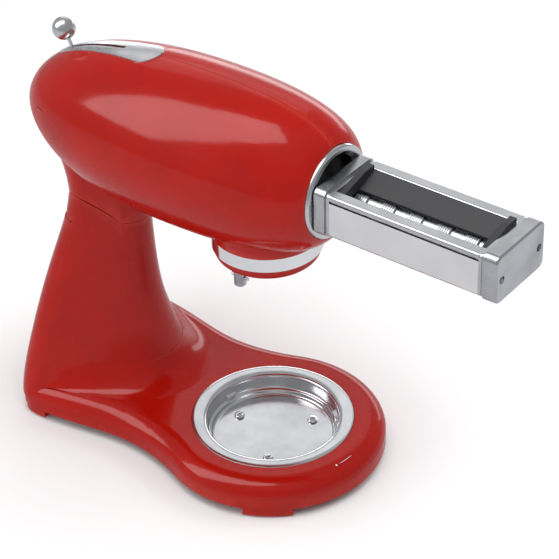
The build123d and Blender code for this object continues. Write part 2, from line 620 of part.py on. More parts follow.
def roller(y, disc_lanes):
    shape = rod(CORE_R, CUTTER_X0 + 3.6, CUTTER_X1 - 3.6, y)
    shape += rod(JOURNAL_R, FLANGE_X + 3.5, CUTTER_X1 + 2, y)
    half = (LANE - DISC_GAP) / 2
    for lane in range(LANES):
        if lane % 2 == disc_lanes:
            x = lane_x(lane)
            shape += rod(DISC_R, x - half, x + half, y)
    return shape


def make_cutters():
    half = TANG / 2
    tang = block(32, FLANGE_X + 4, -half, half, DRIVE_Z - half, DRIVE_Z + half)
    keep("cutter_roller_a", roller(0.0, 0) + tang)
    keep("cutter_roller_b", roller(-CUTTER_PITCH, 1))
    for name, y, phase in (("cutter_gear_a", 0.0, 0.0),
                           ("cutter_gear_b", -CUTTER_PITCH, 180 / CUTTER_TEETH)):
        blank = Pos(y, DRIVE_Z) * gear_outline(CUTTER_TEETH, CUTTER_MODULE, phase)
        x = FLANGE_X + 4.2
        keep(name, slab_x(blank, x, x + 6) - rod(JOURNAL_R, 80, 100, y))


# ---- everything ---------------------------------------------------------------------------
def main():
    make_base()
    make_base_fittings()
    make_button()
    make_head()
    make_head_trim()
    make_planetary()
    make_motor()
    make_speed_lever()
    make_cutter_caps()
    make_cutter_frame()
    make_cutters()
    os.makedirs("parts", exist_ok=True)
    for name, shape in nodes.items():
        moved = Pos(ORIGIN_X, 0, 0) * shape
        export_step(moved, f"parts/{name}.step")
        print(f"{name}: {len(shape.solids())} solids, {shape.volume / 1000:.1f} cm3")


main()
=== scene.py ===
import json
from math import cos, pi, radians, sin

import bmesh
import bpy
from mathutils import Matrix, Vector

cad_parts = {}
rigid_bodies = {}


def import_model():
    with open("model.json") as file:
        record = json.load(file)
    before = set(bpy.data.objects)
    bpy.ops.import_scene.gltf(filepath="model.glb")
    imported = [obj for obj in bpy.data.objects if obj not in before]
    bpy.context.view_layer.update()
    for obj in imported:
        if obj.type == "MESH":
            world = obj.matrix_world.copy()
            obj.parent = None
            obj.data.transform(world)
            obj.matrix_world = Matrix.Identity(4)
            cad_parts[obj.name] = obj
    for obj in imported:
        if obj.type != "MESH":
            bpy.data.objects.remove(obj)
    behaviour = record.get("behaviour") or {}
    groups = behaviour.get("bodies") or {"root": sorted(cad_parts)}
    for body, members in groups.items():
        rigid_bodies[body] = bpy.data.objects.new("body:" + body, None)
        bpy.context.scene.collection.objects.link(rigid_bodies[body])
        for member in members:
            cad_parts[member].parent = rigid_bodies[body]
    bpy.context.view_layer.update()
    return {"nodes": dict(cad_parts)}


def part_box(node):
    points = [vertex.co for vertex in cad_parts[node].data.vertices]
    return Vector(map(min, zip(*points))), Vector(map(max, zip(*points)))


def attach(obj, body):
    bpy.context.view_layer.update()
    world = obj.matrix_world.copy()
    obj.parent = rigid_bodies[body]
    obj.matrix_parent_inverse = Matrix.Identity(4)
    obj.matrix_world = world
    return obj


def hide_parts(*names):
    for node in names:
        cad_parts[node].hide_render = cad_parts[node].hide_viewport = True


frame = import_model()
nodes = frame["nodes"]
scene = bpy.context.scene
mm = 0.001
axisShift = 1.0  # the bowl's axis stands this far in front of the origin, in millimetres
print("frame loaded:", len(nodes), "nodes")


def linear(hexText):
    values = [int(hexText[i:i + 2], 16) / 255 for i in (1, 3, 5)]
    return [v / 12.92 if v <= 0.04045 else ((v + 0.055) / 1.055) ** 2.4 for v in values] + [1.0]


def addNode(tree, kind, values=None, links=None, **settings):
    node = tree.nodes.new(kind)
    for name, value in settings.items():
        setattr(node, name, value)
    for key, value in (values or {}).items():
        node.inputs[key].default_value = value
    for key, source in (links or {}).items():
        tree.links.new(source, node.inputs[key])
    return node


def startMaterial(name, **shaderValues):
    material = bpy.data.materials.new(name)
    material.use_nodes = True
    tree = material.node_tree
    tree.nodes.clear()
    shader = addNode(tree, "ShaderNodeBsdfPrincipled", shaderValues)
    addNode(tree, "ShaderNodeOutputMaterial", links={"Surface": shader.outputs[0]})
    where = addNode(tree, "ShaderNodeTexCoord").outputs["Object"]
    return material, tree, shader, where


def grain(tree, where, size, detail=2.0, stretch=(1, 1, 1)):
    # noise whose lumps are about size millimetres across, longer where stretch is above 1
    scaled = addNode(tree, "ShaderNodeMapping", {"Scale": [1 / s for s in stretch]},
                     {"Vector": where})
    return addNode(tree, "ShaderNodeTexNoise", {"Scale": 1 / (size * mm), "Detail": detail},
                   {"Vector": scaled.outputs[0]}).outputs["Fac"]


def spread(tree, source, low, high, fromLow=0.3, fromHigh=0.7):
    return addNode(tree, "ShaderNodeMapRange",
                   {"From Min": fromLow, "From Max": fromHigh, "To Min": low, "To Max": high},
                   {"Value": source}).outputs[0]


def tint(tree, source, first, second):
    mixed = addNode(tree, "ShaderNodeMix", data_type="RGBA")
    mixed.inputs[6].default_value = linear(first)
    mixed.inputs[7].default_value = linear(second)
    tree.links.new(source, mixed.inputs[0])
    return mixed.outputs[2]


def wornEdge(tree, colour, edgeHex, amount, flat=0.515, keen=0.60):
    # sharp outer edges show a little of another colour, where hands and cloths rub
    sharp = addNode(tree, "ShaderNodeNewGeometry").outputs["Pointiness"]
    edge = spread(tree, sharp, 0.0, amount, flat, keen)
    mixed = addNode(tree, "ShaderNodeMix", data_type="RGBA")
    mixed.inputs[7].default_value = linear(edgeHex)
    tree.links.new(edge, mixed.inputs[0])
    tree.links.new(colour, mixed.inputs[6])
    return mixed.outputs[2]


def press(tree, shader, height, depth, strength=1.0):
    # depth in millimetres
    bump = addNode(tree, "ShaderNodeBump", {"Distance": depth * mm, "Strength": strength},
                   {"Height": height})
    tree.links.new(bump.outputs[0], shader.inputs["Normal"])
    return bump


enamel = {"base": "#AB1308", "deep": "#9A0F05", "edge": "#C9483A", "patch": 70, "speck": 0.7,
          "cloud": 35, "peel": 3.2}  # colours, then the sizes of its patterns in millimetres


def redEnamel():
    # baked gloss enamel on a die-cast body: one deep red, a wet coat, a faint orange peel
    material, tree, shader, where = startMaterial(
        "glossRedEnamel", **{"Coat Weight": 0.45, "Coat Roughness": 0.11, "IOR": 1.5,
                             "Specular IOR Level": 0.05})
    colour = tint(tree, spread(tree, grain(tree, where, enamel["patch"]), 0, 1),
                  enamel["base"], enamel["deep"])
    speck = tint(tree, spread(tree, grain(tree, where, enamel["speck"], 4), 0, 1),
                 enamel["base"], enamel["deep"])
    mixed = addNode(tree, "ShaderNodeMix", {0: 0.25}, {6: colour, 7: speck}, data_type="RGBA")
    tree.links.new(wornEdge(tree, mixed.outputs[2], enamel["edge"], 0.35),
                   shader.inputs["Base Color"])
    tree.links.new(spread(tree, grain(tree, where, enamel["cloud"]), 0.22, 0.32),
                   shader.inputs["Roughness"])
    peel = press(tree, shader, grain(tree, where, enamel["peel"], 1), 0.02, 0.35)
    tree.links.new(peel.outputs[0], shader.inputs["Coat Normal"])
    return material


def metalFinish(name, light, dark, rough, patch, scratch, stretch, depth, edge="#F2F2F2",
                edgeAmount=0.3):
    # shared by the plain metals: two close tones, uneven polish, and fine lines or grain.
    # patch, scratch and depth are millimetres, and stretch draws the scratches out along x, y, z
    material, tree, shader, where = startMaterial(name, **{"Metallic": 1.0})
    tone = spread(tree, grain(tree, where, patch, 3), 0, 1)
    lines = grain(tree, where, scratch, 3, stretch)
    colour = tint(tree, tone, light, dark)
    tree.links.new(wornEdge(tree, colour, edge, edgeAmount), shader.inputs["Base Color"])
    both = addNode(tree, "ShaderNodeMath", {1: 0.5}, {0: lines, 1: tone}, operation="MULTIPLY")
    tree.links.new(spread(tree, both.outputs[0], rough[0], rough[1], 0.05, 0.55),
                   shader.inputs["Roughness"])
    press(tree, shader, lines, depth)
    return material


def polishedChrome():
    # bright plating: a mirror with a trace of wiping marks
    return metalFinish("polishedChrome", "#E9EAEC", "#DDDEE1", rough=(0.03, 0.09), patch=30,
                       scratch=2.5, stretch=(6, 1, 1), depth=0.0015)


def satinChrome():
    # matt plating, finely blasted before it was plated
    return metalFinish("satinChrome", "#D3D4D6", "#C4C5C8", rough=(0.20, 0.32), patch=25,
                       scratch=0.5, stretch=(1, 1, 1), depth=0.004)


def brushedStainless():
    # sheet drawn through a belt grinder along its length: fine lines, soft streaked highlights
    return metalFinish("brushedStainless", "#BEBFC2", "#A9AAAE", rough=(0.20, 0.36), patch=45,
                       scratch=0.45, stretch=(60, 1, 1), depth=0.006, edge="#DADBDD")


def polishedStainless():
    # folded stainless sheet buffed bright, with faint lengthwise lines left by the wheel
    return metalFinish("polishedStainless", "#E2E3E5", "#D4D5D7", rough=(0.08, 0.20), patch=40,
                       scratch=0.6, stretch=(40, 1, 1), depth=0.003)


dishPad = {"ring": 0.8, "patch": 30, "depth": 0.0015}


def spunStainless():
    # pressed dish turned against a pad: faint rings round its own middle, bright and soft
    material, tree, shader, where = startMaterial("spunStainless", **{"Metallic": 1.0})
    middle = addNode(tree, "ShaderNodeMapping", {"Location": (-axisShift * mm, 0, 0)},
                     {"Vector": where})
    parts = addNode(tree, "ShaderNodeSeparateXYZ", links={0: middle.outputs[0]})
    flat = addNode(tree, "ShaderNodeCombineXYZ", links={0: parts.outputs[0], 1: parts.outputs[1]})
    radius = addNode(tree, "ShaderNodeVectorMath", links={0: flat.outputs[0]},
                     operation="LENGTH").outputs["Value"]
    # the rings are coarser than a real pad leaves, so that they show
    rings = addNode(tree, "ShaderNodeTexNoise",
                    {"Scale": 1 / (dishPad["ring"] * mm), "Detail": 2.0}, {"W": radius},
                    noise_dimensions="1D").outputs[0]
    patch = grain(tree, where, dishPad["patch"], 3)
    tree.links.new(wornEdge(tree, tint(tree, spread(tree, patch, 0, 1), "#DCDDDF", "#C9CACD"),
                            "#F4F4F4", 0.4), shader.inputs["Base Color"])
    tree.links.new(spread(tree, rings, 0.13, 0.22), shader.inputs["Roughness"])
    press(tree, shader, rings, dishPad["depth"])
    return material


def machinedSteel():
    # turned and ground bar: grey, with fine turning lines
    return metalFinish("machinedSteel", "#B4B5B8", "#9C9DA1", rough=(0.24, 0.40), patch=12,
                       scratch=0.5, stretch=(1, 8, 8), depth=0.008)


def hardenedSteel():
    # cut gears, oiled and slightly darkened by the furnace
    return metalFinish("hardenedSteel", "#8F8E8D", "#74726F", rough=(0.28, 0.45), patch=8,
                       scratch=0.8, stretch=(1, 1, 4), depth=0.01, edge="#C8C8C6",
                       edgeAmount=0.5)


def bareCasting():
    # die-cast aluminium as it leaves the mould: pale, matt, lightly pitted
    return metalFinish("bareDieCasting", "#ADAEB0", "#959698", rough=(0.42, 0.62), patch=20,
                       scratch=1.6, stretch=(1, 1, 1), depth=0.03, edge="#D2D3D4",
                       edgeAmount=0.4)


def sinteredBronze():
    # oil-filled bearing bronze: brown-gold with open pores
    return metalFinish("sinteredBronze", "#B98C52", "#8E6636", rough=(0.36, 0.55), patch=6,
                       scratch=0.5, stretch=(1, 1, 1), depth=0.02, edge="#D9B47C",
                       edgeAmount=0.4)


def copperWinding():
    # lacquered wire laid over steel sheets: rows of fine ridges
    return metalFinish("lacqueredCopperWire", "#B4693A", "#7E4423", rough=(0.28, 0.5), patch=9,
                       scratch=0.9, stretch=(12, 1, 1), depth=0.08, edge="#D89A6A",
                       edgeAmount=0.5)


def plainFinish(name, light, dark, rough, patch, lump, depth, edge, ior=1.46, sheen=0.0):
    # shared by plastics, rubber and ink; patch, lump and depth are millimetres
    material, tree, shader, where = startMaterial(name, **{"IOR": ior, "Sheen Weight": sheen})
    tone = spread(tree, grain(tree, where, patch, 3), 0, 1)
    fine = grain(tree, where, lump, 2)
    tree.links.new(wornEdge(tree, tint(tree, tone, light, dark), edge, 0.5),
                   shader.inputs["Base Color"])
    tree.links.new(spread(tree, fine, rough[0], rough[1]), shader.inputs["Roughness"])
    press(tree, shader, fine, depth)
    return material


def blackNylon():
    # moulded glass-filled nylon: near black, softly glossy, spark-eroded texture
    return plainFinish("mouldedBlackNylon", "#141415", "#1C1C1E", rough=(0.34, 0.5), patch=18,
                       lump=0.7, depth=0.015, edge="#3A3A3C", ior=1.53)


def greenBoard():
    # glass-epoxy board under solder mask: dark green, evenly glossy
    return plainFinish("solderMaskBoard", "#0F4A2C", "#0A3620", rough=(0.3, 0.45), patch=7,
                       lump=1.2, depth=0.02, edge="#6F8F5C", ior=1.55)


def carbonBlock():
    # pressed motor brush: matt, sooty
    return plainFinish("pressedCarbon", "#1E1E20", "#2B2B2D", rough=(0.6, 0.8), patch=4,
                       lump=0.4, depth=0.02, edge="#55555A")


def footRubber():
    # soft black rubber with a dusty bloom
    return plainFinish("softFootRubber", "#1B1B1C", "#29292A", rough=(0.65, 0.85), patch=10,
                       lump=0.9, depth=0.03, edge="#4A4A4B", ior=1.52, sheen=0.15)


def printedInk():
    # pad-printed grey scale ink, slightly raised
    return plainFinish("padPrintedInk", "#2A2B2D", "#3A3B3E", rough=(0.4, 0.55), patch=3,
                       lump=0.3, depth=0.004, edge="#5A5B5E", ior=1.5)


finishes = {
    "enamel": redEnamel(), "polished": polishedChrome(), "satin": satinChrome(),
    "dish": spunStainless(), "steel": machinedSteel(), "gearing": hardenedSteel(),
    "casting": bareCasting(), "bronze": sinteredBronze(), "copper": copperWinding(),
    "black_plastic": blackNylon(), "board": greenBoard(), "carbon": carbonBlock(),
    "foot": footRubber(), "brushed": brushedStainless(), "buffed": polishedStainless(),
    "ink": printedInk(),
}

# the pasta cutter's sheet parts and the lever's knob differ from the rest of their slot
ownFinish = {
    "cutter_housing": "buffed", "front_rail": "brushed", "rear_rail": "brushed",
    "end_cap": "brushed", "mount_flange": "brushed", "near_side_plate": "brushed",
    "far_side_plate": "brushed", "lever_knob": "satin",
}

for name, node in nodes.items():
    for holder in node.material_slots:
        wanted = ownFinish.get(name, holder.material.name.split(".")[0])
        holder.material = finishes[wanted]
print("finishes given to the CAD nodes")


def meshObject(name, bm, material):
    mesh = bpy.data.meshes.new(name)
    bmesh.ops.recalc_face_normals(bm, faces=bm.faces)
    bm.to_mesh(mesh)
    bm.free()
    mesh.materials.append(material)
    for face in mesh.polygons:
        face.use_smooth = True
    made = bpy.data.objects.new(name, mesh)
    scene.collection.objects.link(made)
    return made


def latheMesh(profile, steps):
    # closed profile of (radius, height) turned about z, poles merged
    bm = bmesh.new()
    rings = []
    for step in range(steps):
        angle = 2 * pi * step / steps
        rings.append([bm.verts.new((r * cos(angle), r * sin(angle), z)) for r, z in profile])
    for step in range(steps):
        here, there = rings[step], rings[(step + 1) % steps]
        for i in range(len(profile)):
            j = (i + 1) % len(profile)
            bm.faces.new((here[i], there[i], there[j], here[j]))
    bmesh.ops.remove_doubles(bm, verts=bm.verts, dist=1e-7)
    bmesh.ops.dissolve_degenerate(bm, edges=bm.edges, dist=1e-7)
    return bm


def sharpEdges(obj, angle=35):
    bpy.context.view_layer.objects.active = obj
    for other in scene.objects:
        other.select_set(other is obj)
    bpy.ops.object.shade_smooth_by_angle(angle=radians(angle))
    return obj


def settle(obj):
    # modifiers applied, so that the piece is a plain mesh
    graph = bpy.context.evaluated_depsgraph_get()
    mesh = bpy.data.meshes.new_from_object(obj.evaluated_get(graph))
    obj.modifiers.clear()
    old = obj.data
    obj.data = mesh
    bpy.data.meshes.remove(old)
    return obj


def cut(obj, cutter):
    step = obj.modifiers.new("cut", "BOOLEAN")
    step.operation = "DIFFERENCE"
    step.object = cutter
    step.solver = "EXACT"
    bpy.context.view_layer.update()
    settle(obj)
    bpy.data.objects.remove(cutter)
    return obj


def finishPiece(obj, body, slotName, *stands):
    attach(obj, body)
    if stands:
        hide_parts(*stands)
    return obj


def newTree(name, sockets):
    tree = bpy.data.node_groups.new(name, "GeometryNodeTree")
    tree.interface.new_socket("Geometry", in_out="INPUT", socket_type="NodeSocketGeometry")
    ids = {}
    for title, kind, value in sockets:
        socket = tree.interface.new_socket(title, in_out="INPUT", socket_type="NodeSocket" + kind)
        if value is not None:
            socket.default_value = value
        ids[title] = socket.identifier
    tree.interface.new_socket("Geometry", in_out="OUTPUT", socket_type="NodeSocketGeometry")
    return tree, ids


def runTree(obj, tree, ids, values):
    step = obj.modifiers.new(tree.name, "NODES")
    step.node_group = tree
    for title, value in values.items():
        step[ids[title]] = value
    bpy.context.view_layer.update()
    return settle(obj)


def closeTree(tree, geometry, material):
    real = addNode(tree, "GeometryNodeRealizeInstances", links={0: geometry})
    coated = addNode(tree, "GeometryNodeSetMaterial", {"Material": material},
                     {"Geometry": real.outputs[0]})
    addNode(tree, "NodeGroupOutput", links={0: coated.outputs[0]})


def fastenerTree(material):
    # one screw on every point of the input, each turned by its own seeded angle about its axis
    tree, ids = newTree("fasteners", [("Screw", "Object", None), ("Tilt", "Rotation", None),
                                      ("Seed", "Int", 4), ("Size", "Float", 1.0)])
    start = addNode(tree, "NodeGroupInput")
    screw = addNode(tree, "GeometryNodeObjectInfo", links={"Object": start.outputs["Screw"]})
    turn = addNode(tree, "FunctionNodeRandomValue", {"Min": 0.0, "Max": pi},
                   {"Seed": start.outputs["Seed"]})
    spun = [s for s in turn.outputs if s.enabled][0]
    about = addNode(tree, "FunctionNodeAxisAngleToRotation", {"Axis": (0, 0, 1)},
                    {"Angle": spun})
    both = addNode(tree, "FunctionNodeRotateRotation", links={
        "Rotation": start.outputs["Tilt"], "Rotate By": about.outputs[0]}, rotation_space="LOCAL")
    placed = addNode(tree, "GeometryNodeInstanceOnPoints", links={
        "Points": start.outputs["Geometry"], "Instance": screw.outputs["Geometry"],
        "Rotation": both.outputs[0], "Scale": start.outputs["Size"]})
    closeTree(tree, placed.outputs[0], material)
    return tree, ids


def pointCloudMesh(name, points):
    mesh = bpy.data.meshes.new(name)
    mesh.from_pydata([tuple(p) for p in points], [], [])
    made = bpy.data.objects.new(name, mesh)
    scene.collection.objects.link(made)
    return made


seatScrew = {"radius": 5.0, "height": 2.4, "edge": 0.7, "slotWidth": 1.2, "slotLength": 5.6,
             "slotDepth": 1.5, "circle": 42.0, "angles": (180, 60, -60)}
capScrew = {"radius": 2.6, "height": 0.9, "edge": 0.35, "slotWidth": 0.8, "slotLength": 6.2,
            "slotDepth": 0.55, "sink": 0.1}
# the head's section, as shares of its height, its radius and the width of its edge
headShape = {"wall": 0.45, "dome": 0.4, "draft": 0.25, "crown": (0.6, 0.95), "top": 0.3,
             "arc": (0.5, 1.0, pi / 2), "steps": 40}


def screwHead(name, size, cross):
    shape = headShape
    radius, height, edge = size["radius"] * mm, size["height"] * mm, size["edge"] * mm
    wall = height * shape["wall"]
    crownRadius, crownHeight = shape["crown"]
    profile = [(0, 0), (radius, 0), (radius, wall)]
    profile += [(radius - edge * (1 - cos(a)) - shape["draft"] * edge,
                 wall + (height * shape["dome"]) * sin(a)) for a in shape["arc"]]
    profile += [(radius * crownRadius, height * crownHeight), (radius * shape["top"], height),
                (0, height)]
    head = meshObject(name, latheMesh(profile, shape["steps"]), finishes["polished"])
    slot = Matrix.Diagonal((size["slotLength"] * mm, size["slotWidth"] * mm,
                            2 * size["slotDepth"] * mm, 1))
    for turn in ((0, pi / 2) if cross else (0,)):
        tool = bmesh.new()
        bmesh.ops.create_cube(tool, size=1.0, matrix=Matrix.Rotation(turn, 4, "Z") @ slot)
        bmesh.ops.translate(tool, verts=tool.verts, vec=(0, 0, height))
        cut(head, meshObject("slotTool", tool, finishes["polished"]))
    sharpEdges(head)
    return head


def placeScrews(name, node, size, cross, points, tilt, seed, body, finish):
    head = screwHead(name + "Head", size, cross)
    group = pointCloudMesh(name, points)
    tree, ids = fastenerTree(finishes[finish])
    runTree(group, tree, ids, {"Screw": head, "Tilt": tilt, "Seed": seed, "Size": 1.0})
    bpy.data.objects.remove(head)
    sharpEdges(group)
    return finishPiece(group, body, "steel", node)


bowlAxis = Vector((axisShift * mm, 0, 0))


def seatScrewPoints():
    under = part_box("bowl_seat_screws")[1].z - seatScrew["height"] * mm
    circle = seatScrew["circle"] * mm
    return [bowlAxis + Vector((circle * cos(radians(a)), circle * sin(radians(a)), under))
            for a in seatScrew["angles"]]


def capScrewPoints():
    low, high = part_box("end_cap_screws")
    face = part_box("end_cap")[1].x - capScrew["sink"] * mm
    inset = capScrew["radius"] * mm
    return [Vector((face, y, (low.z + high.z) / 2)) for y in (low.y + inset, high.y - inset)]


placeScrews("seatScrews", "bowl_seat_screws", seatScrew, True, seatScrewPoints(), (0, 0, 0), 3,
            "base", "polished")
placeScrews("capScrews", "end_cap_screws", capScrew, False, capScrewPoints(), (0, pi / 2, 0), 8,
            "cutter_frame", "gearing")
print("screws placed")

# places along the slot are (x, z) from the bowl's axis
# sizes of the painted shade strip in the speed slot: its two ends, its width and its thickness
slotShadeSizes = {"start": (-230.0, 374.6), "end": (-161.5, 393.8), "wide": 3.8, "thick": 0.6}


def makePaintedSlotShade():
    # painted shade: a thin black strip lies along the bottom of the speed slot so that the slot
    # reads dark as in shadow; the foot rubber finish only gives it its black
    s = slotShadeSizes
    bm = bmesh.new()
    corners = [bm.verts.new(((x + axisShift) * mm, side * s["wide"] / 2 * mm, (z - drop) * mm))
               for x, z in (s["start"], s["end"]) for side in (-1, 1)
               for drop in (0, s["thick"])]
    bmesh.ops.convex_hull(bm, input=corners)
    return finishPiece(meshObject("slotSeal", bm, finishes["foot"]), "head", "foot")


makePaintedSlotShade()
print("painted slot shade laid")

# the ticks drop from above onto the plate, each at the height that it meets there
scaleSizes = {"count": 11, "long": 3.4, "short": 2.0, "width": 0.55, "thick": 0.16,
              "side": -6.6, "start": (-213.0, 383.0), "end": (-168.0, 395.5), "above": 30.0,
              "reach": 100.0}


def scaleTree(material, plate):
    tree, ids = newTree("speedScale", [("Ticks", "Int", 11), ("Long", "Float", 0.003),
                                       ("Short", "Float", 0.002), ("Width", "Float", 0.0005),
                                       ("Thick", "Float", 0.0002), ("Start", "Vector", None),
                                       ("End", "Vector", None)])
    start = addNode(tree, "NodeGroupInput")
    row = addNode(tree, "GeometryNodeMeshLine", links={
        "Count": start.outputs["Ticks"], "Start Location": start.outputs["Start"],
        "Offset": start.outputs["End"]}, mode="END_POINTS")
    target = addNode(tree, "GeometryNodeObjectInfo", {"Object": plate})
    ray = addNode(tree, "GeometryNodeRaycast",
                  {"Ray Direction": (0, 0, -1), "Ray Length": scaleSizes["reach"] * mm},
                  {"Target Geometry": target.outputs["Geometry"]})
    down = addNode(tree, "GeometryNodeSetPosition", links={
        "Geometry": row.outputs[0], "Position": ray.outputs["Hit Position"],
        "Selection": ray.outputs["Is Hit"]})
    number = addNode(tree, "GeometryNodeInputIndex")
    odd = addNode(tree, "FunctionNodeIntegerMath", {1: 2}, {0: number.outputs[0]},
                  operation="MODULO")
    length = addNode(tree, "GeometryNodeSwitch", links={
        "Switch": odd.outputs[0], "False": start.outputs["Long"], "True": start.outputs["Short"]},
        input_type="FLOAT")
    size = addNode(tree, "ShaderNodeCombineXYZ", links={
        0: start.outputs["Width"], 1: length.outputs[0], 2: start.outputs["Thick"]})
    bar = addNode(tree, "GeometryNodeMeshCube", {"Size": (1, 1, 1)})
    placed = addNode(tree, "GeometryNodeInstanceOnPoints", links={
        "Points": down.outputs[0], "Instance": bar.outputs[0], "Scale": size.outputs[0]})
    closeTree(tree, placed.outputs[0], material)
    return tree, ids


def makeSpeedScale():
    s = scaleSizes
    tree, ids = scaleTree(finishes["ink"], nodes["speed_plate"])
    marks = pointCloudMesh("speedScale", [(0, 0, 0)])
    ends = [((x + axisShift) * mm, s["side"] * mm, (z + s["above"]) * mm)
            for x, z in (s["start"], s["end"])]
    runTree(marks, tree, ids, {
        "Ticks": s["count"], "Long": s["long"] * mm, "Short": s["short"] * mm,
        "Width": s["width"] * mm, "Thick": s["thick"] * mm, "Start": ends[0], "End": ends[1]})
    return finishPiece(marks, "head", "black_plastic")


makeSpeedScale()
print("speed scale laid")


# a pressed dish with a rolled rim, a step above the floor and three lugs; the sections are
# (radius, height), down the upper face and back up the lower one
dishSizes = {
    "upper": ((79.7, 36.4), (79.2, 37.4), (77.8, 37.9), (75.0, 38.0), (72.0, 37.9), (70.0, 37.7),
              (68.4, 37.4), (67.1, 36.95), (66.1, 36.4), (65.4, 35.75), (64.95, 34.8),
              (64.65, 33.2), (64.4, 30.0), (64.1, 26.5), (63.8, 24.0), (63.3, 22.7), (62.4, 22.0),
              (61.2, 21.7), (60.6, 21.0), (60.3, 19.4), (59.8, 18.1), (58.6, 17.3), (56.8, 17.0),
              (30.0, 17.0), (0.0, 17.0)),
    "lower": ((0.0, 15.6), (57.0, 15.6), (61.0, 16.2), (62.0, 18.5), (62.4, 20.4), (64.6, 21.2),
              (65.1, 24.0), (65.15, 33.0), (65.3, 35.6), (72.0, 35.6), (79.3, 35.6)),
    "segments": 144, "lugAngles": (169, 49, -71), "lugSpread": 5.5, "lugSteps": 10,
    "lugWall": 64.7, "lugRound": 0.5,
    "lug": ((64.7, 22.3), (61.3, 22.3), (60.8, 22.9), (60.8, 26.4), (61.3, 27.2),
            (64.7, 28.2)),
}


def ribFaces(bm, rows):
    # a rib through rows of points, closed at both ends
    for here, there in zip(rows, rows[1:]):
        for i in range(len(here)):
            j = (i + 1) % len(here)
            bm.faces.new((here[i], here[j], there[j], there[i]))
    bm.faces.new(rows[0])
    bm.faces.new(list(reversed(rows[-1])))


def dishLug(bm, angle):
    s = dishSizes
    rows = []
    for step in range(s["lugSteps"] + 1):
        share = 2 * step / s["lugSteps"] - 1
        a = radians(angle + s["lugSpread"] * share)
        drawn = 1 - s["lugRound"] * abs(share) ** 6  # the ends round off
        reach = [(s["lugWall"] - (s["lugWall"] - r) * drawn, z) for r, z in s["lug"]]
        rows.append([bm.verts.new((r * mm * cos(a), r * mm * sin(a), z * mm)) for r, z in reach])
    ribFaces(bm, rows)


def makeDish():
    s = dishSizes
    bm = latheMesh([(r * mm, z * mm) for r, z in s["upper"] + s["lower"]], s["segments"])
    for angle in s["lugAngles"]:
        dishLug(bm, angle)
    bmesh.ops.translate(bm, verts=bm.verts, vec=bowlAxis)
    dish = meshObject("bowlSeatDish", bm, finishes["dish"])
    sharpEdges(dish, 40)
    return finishPiece(dish, "base", "dish", "bowl_seat")


makeDish()
print("dish pressed")


# grooved discs threaded on a core; "middle", "coreStart" and "coreEnd" are places along x
rollerSizes = {"lanes": 10, "pitch": 14.4, "gap": 0.4, "disc": 10.6, "core": 8.9, "journal": 4.0,
               "middle": 174.8, "coreStart": 98.6, "coreEnd": 251.0, "nose": 0.5, "bevel": 0.4,
               "grooves": 6, "grooveDepth": 0.35, "edge": 0.4, "overlap": 1.0, "segments": 48}
# one groove: where its land begins in millimetres, then shares of its pitch
grooveShape = {"land": 0.05, "landEnd": 0.62, "bottom": 0.81, "segments": 56}


def discMesh(material):
    s, g = rollerSizes, grooveShape
    half = (s["pitch"] - s["gap"]) / 2
    pitch = 2 * (half - s["edge"]) / s["grooves"]
    bore = s["core"] - s["overlap"]
    profile = [(bore, -half), (s["disc"] - s["edge"], -half)]
    for count in range(s["grooves"]):
        left = -half + s["edge"] + count * pitch
        profile += [(s["disc"], left + g["land"]), (s["disc"], left + pitch * g["landEnd"]),
                    (s["disc"] - s["grooveDepth"], left + pitch * g["bottom"])]
    profile += [(s["disc"], half - s["edge"]), (s["disc"] - s["edge"], half), (bore, half)]
    return meshObject("cutterDisc", latheMesh([(r * mm, z * mm) for r, z in profile],
                                              g["segments"]), material)


def discTree(material):
    tree, ids = newTree("threadedDiscs", [("Disc", "Object", None), ("Count", "Int", 5),
                                          ("First", "Vector", None), ("Step", "Vector", None)])
    start = addNode(tree, "NodeGroupInput")
    row = addNode(tree, "GeometryNodeMeshLine", links={
        "Count": start.outputs["Count"], "Start Location": start.outputs["First"],
        "Offset": start.outputs["Step"]}, mode="OFFSET")
    disc = addNode(tree, "GeometryNodeObjectInfo", links={"Object": start.outputs["Disc"]})
    placed = addNode(tree, "GeometryNodeInstanceOnPoints",
                     {"Rotation": (0, pi / 2, 0)}, {"Points": row.outputs[0],
                                                    "Instance": disc.outputs["Geometry"]})
    joined = addNode(tree, "GeometryNodeJoinGeometry", links={0: placed.outputs[0]})
    tree.links.new(start.outputs["Geometry"], joined.inputs[0])
    closeTree(tree, joined.outputs[0], material)
    return tree, ids


def shaftProfile(low, high):
    s = rollerSizes
    core, journal = s["core"] * mm, s["journal"] * mm
    nose, bevel = s["nose"] * mm, s["bevel"] * mm
    start, end = s["coreStart"] * mm, s["coreEnd"] * mm
    return [(0, low + nose), (journal - nose, low), (journal, low + nose), (journal, start),
            (core - bevel, start), (core, start + bevel), (core, end - bevel),
            (core - bevel, end), (journal, end), (journal, high - nose), (journal - nose, high),
            (0, high - nose)]


def makeRoller(name, node, body, parity):
    s = rollerSizes
    low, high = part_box(node)
    middle = (low + high) / 2
    bm = latheMesh(shaftProfile(low.x, high.x), s["segments"])
    bmesh.ops.rotate(bm, verts=bm.verts, matrix=Matrix.Rotation(pi / 2, 3, "Y"))
    bmesh.ops.translate(bm, verts=bm.verts, vec=(0, middle.y, middle.z))
    shaft = meshObject(name, bm, finishes["steel"])
    firstX = (s["middle"] + (parity - (s["lanes"] - 1) / 2) * s["pitch"]) * mm
    disc = discMesh(finishes["steel"])
    tree, ids = discTree(finishes["steel"])
    runTree(shaft, tree, ids, {"Disc": disc, "Count": s["lanes"] // 2,
                               "First": (firstX, middle.y, middle.z),
                               "Step": (2 * s["pitch"] * mm, 0, 0)})
    bpy.data.objects.remove(disc)
    sharpEdges(shaft, 30)
    return finishPiece(shaft, body, "steel", node)


makeRoller("cutterRollerA", "cutter_roller_a", "cutter_a", 0)
makeRoller("cutterRollerB", "cutter_roller_b", "cutter_b", 1)
print("rollers threaded")


